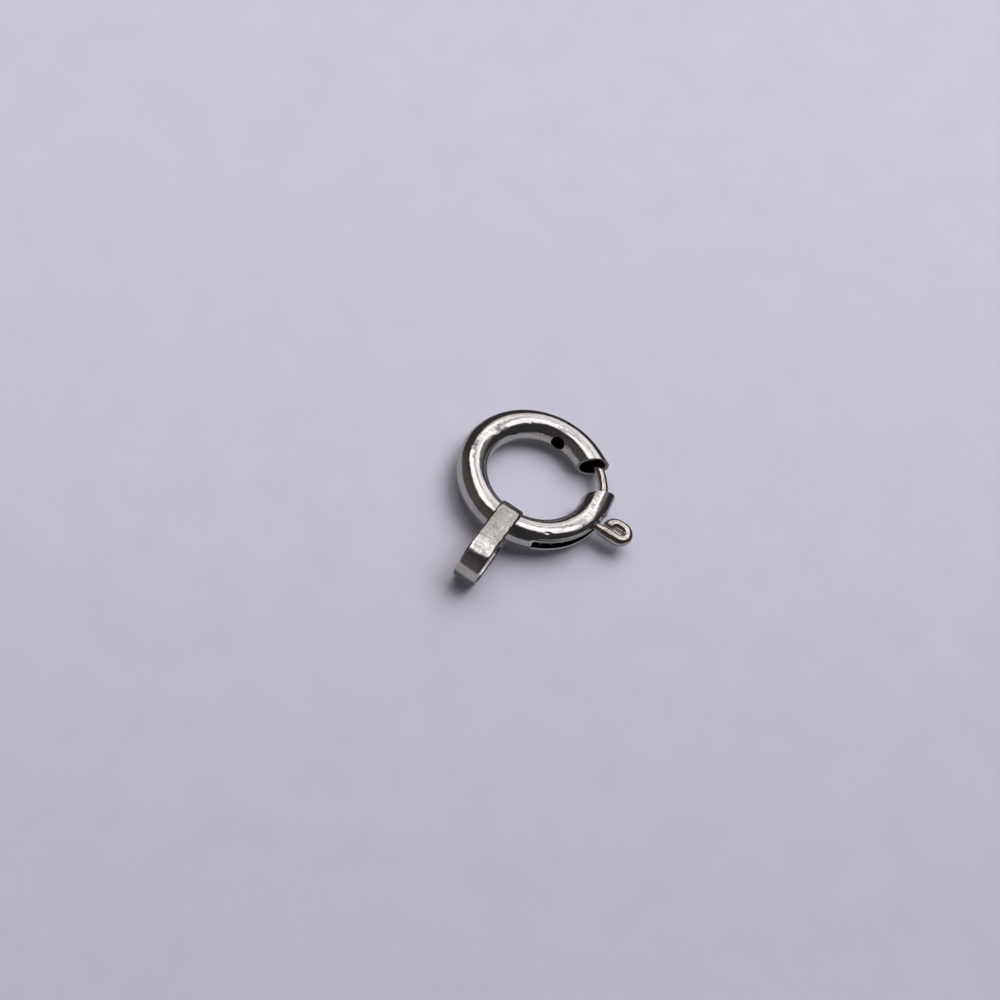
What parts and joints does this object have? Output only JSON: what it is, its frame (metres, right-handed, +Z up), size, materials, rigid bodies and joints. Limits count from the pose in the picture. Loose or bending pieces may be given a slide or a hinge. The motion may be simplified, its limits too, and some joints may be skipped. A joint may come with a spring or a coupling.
{
  "type": "spring ring clasp",
  "caption": "Round jewellery clasp: a bent tube whose gap is closed by a spring-loaded wire tongue, drawn back by a thumb loop, with a flat strap bail.",
  "frame": {"origin": "on the surface that the clasp lies on, under the middle of its bounding box", "axes": "+Z up from the surface; the bail points to -Y, the thumb loop to +X; the ring's own axis leans 3.06 degrees from +Z towards +Y"},
  "size_m": [0.0072, 0.0084, 0.0019],
  "materials": {
    "polished_white_metal": "polished precious white metal with fine handling marks",
    "tongue_wire": "polished white gold wire, a little warmer than the tube",
    "spring_wire": "drawn spring wire"
  },
  "bodies": {
    "case": {"ring_tube": "polished_white_metal", "bail": "polished_white_metal", "spring": "spring_wire"},
    "slider": {"tongue": "tongue_wire"}
  },
  "joints": [
    {"name": "tongue_slide", "type": "hinge", "parent": "case", "child": "slider", "pos_m": [-0.00062, 0.00117, 0.0007], "axis": [0, 0.0534, 0.9986], "range_deg": [-52, 0], "stiffness_Nm_per_rad": 0.003, "deforming": ["spring"]}
  ]
}
